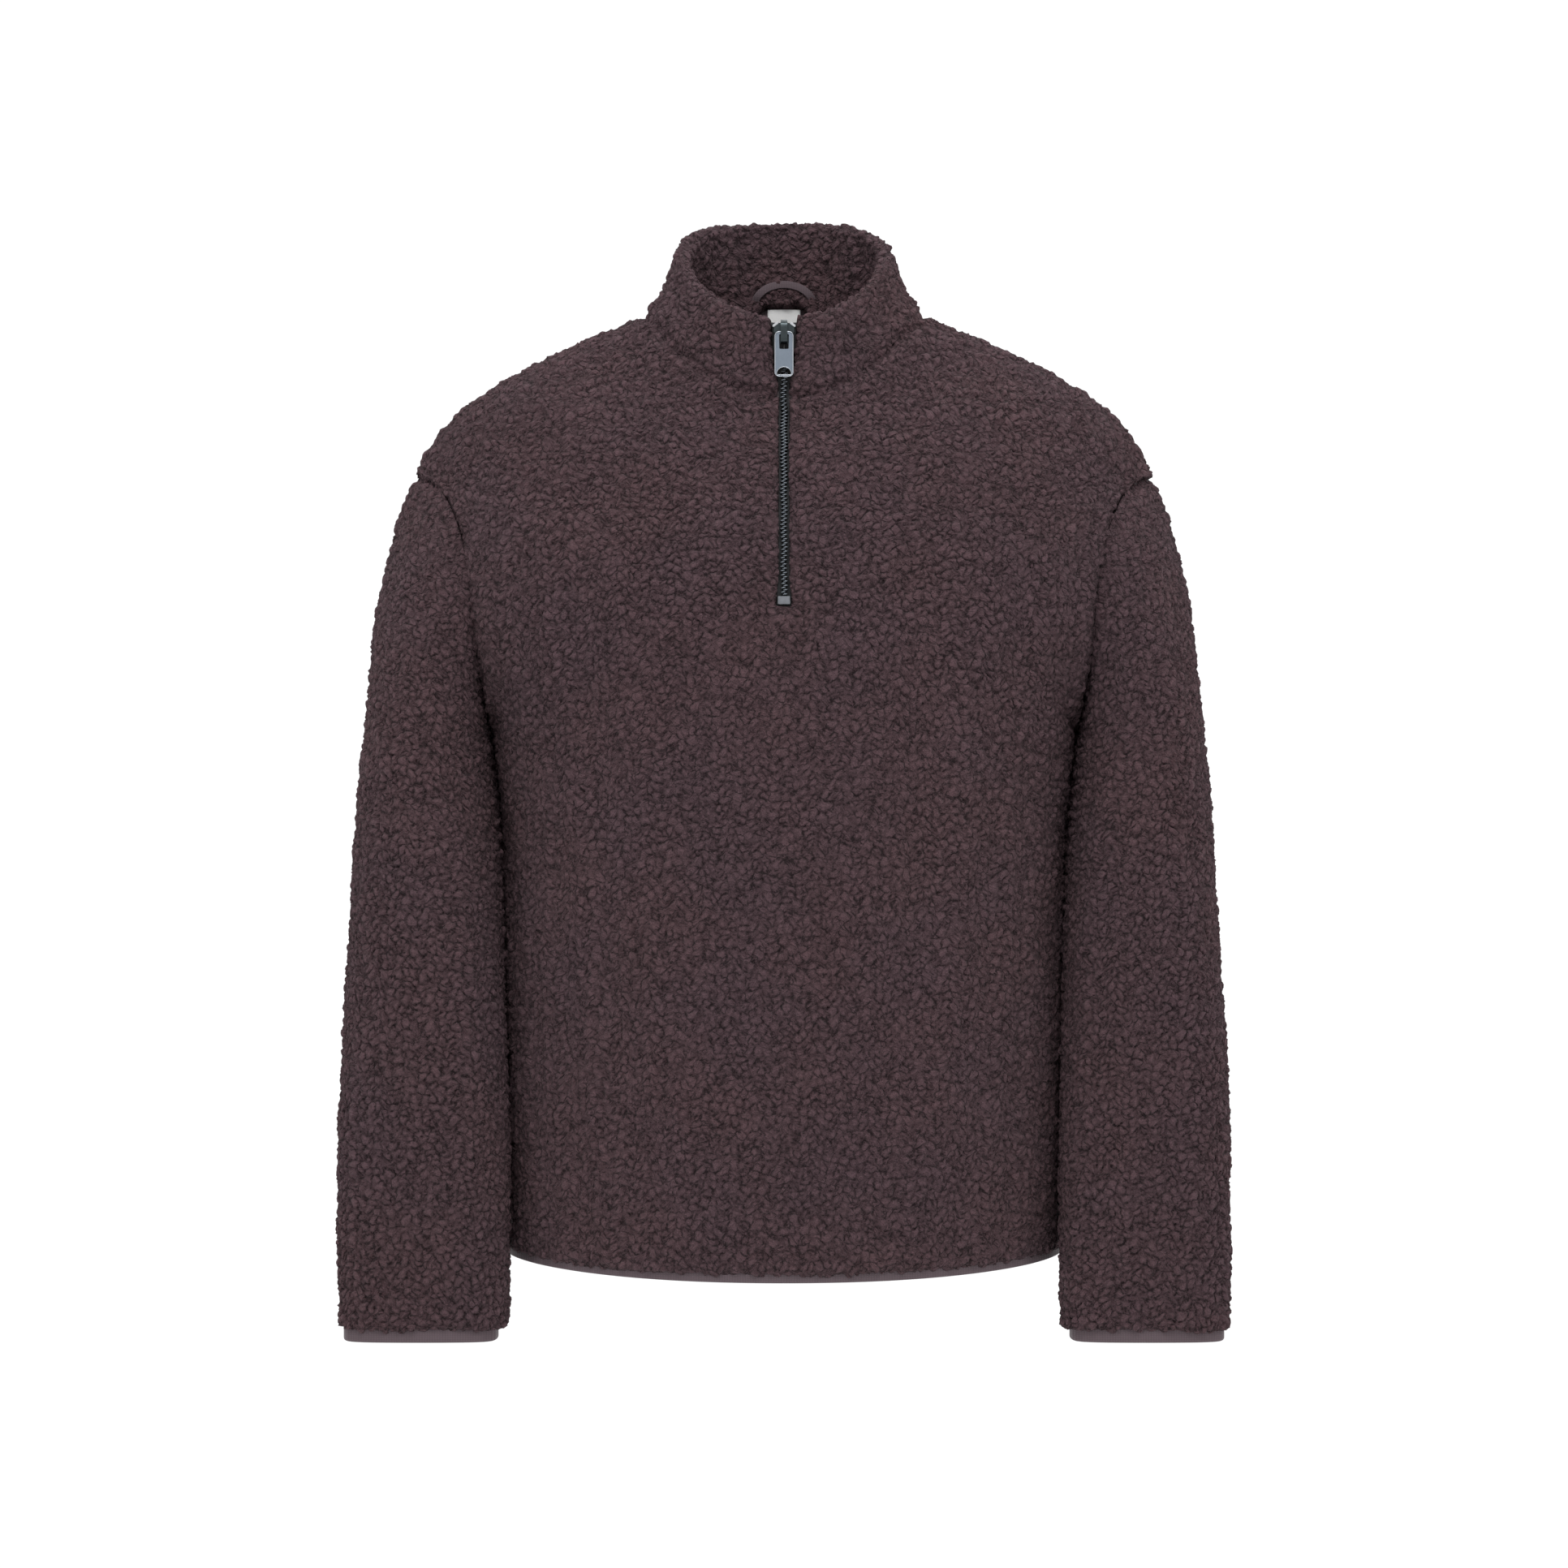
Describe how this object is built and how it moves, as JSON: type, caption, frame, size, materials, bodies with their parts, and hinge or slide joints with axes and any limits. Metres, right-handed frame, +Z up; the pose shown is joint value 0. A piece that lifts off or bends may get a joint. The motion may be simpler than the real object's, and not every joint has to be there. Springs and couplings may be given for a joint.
{
  "type": "sherpa fleece pullover",
  "caption": "Hip-length sherpa fleece pullover with drop shoulders, a stand collar with a short metal zip, long sleeves and narrow jersey bindings at hem and cuffs.",
  "frame": {"origin": "middle of the neck, level with the inner ends of the shoulder seams, where the wearer's shoulders carry the garment", "axes": "+X the wearer's left, -Y the front, +Z up"},
  "size_m": [0.6264, 0.2631, 0.7907],
  "materials": {
    "fleece": "curly pile, matt",
    "jersey": "smooth knit, matt",
    "zip_tape": "woven tape, matt",
    "zip_teeth": "satin",
    "bright_metal": "satin",
    "slider_metal": "dark satin plating",
    "pull_metal": "dark satin plating",
    "label": "woven satin"
  },
  "bodies": {
    "garment": {"front": "fleece", "back": "fleece", "collar_outer": "fleece", "collar_facing": "fleece", "sleeve_left": "fleece", "sleeve_right": "fleece", "hem_binding": "jersey", "cuff_binding_left": "jersey", "cuff_binding_right": "jersey", "hanging_loop": "jersey", "zip_tape_left": "zip_tape", "zip_tape_right": "zip_tape", "zip_chain": "zip_teeth", "zip_bottom_stop": "bright_metal", "zip_top_stop_left": "bright_metal", "zip_top_stop_right": "bright_metal", "zip_slider": "slider_metal", "neck_label": "label"},
    "pull_tab": {"zip_pull_tab": "pull_metal"}
  },
  "joints": [
    {"name": "pull_tab_hinge", "type": "hinge", "parent": "garment", "child": "pull_tab", "pos_m": [0, -0.06782, -0.01412], "axis": [-1, 0, 0], "range_deg": [0, 150]}
  ]
}
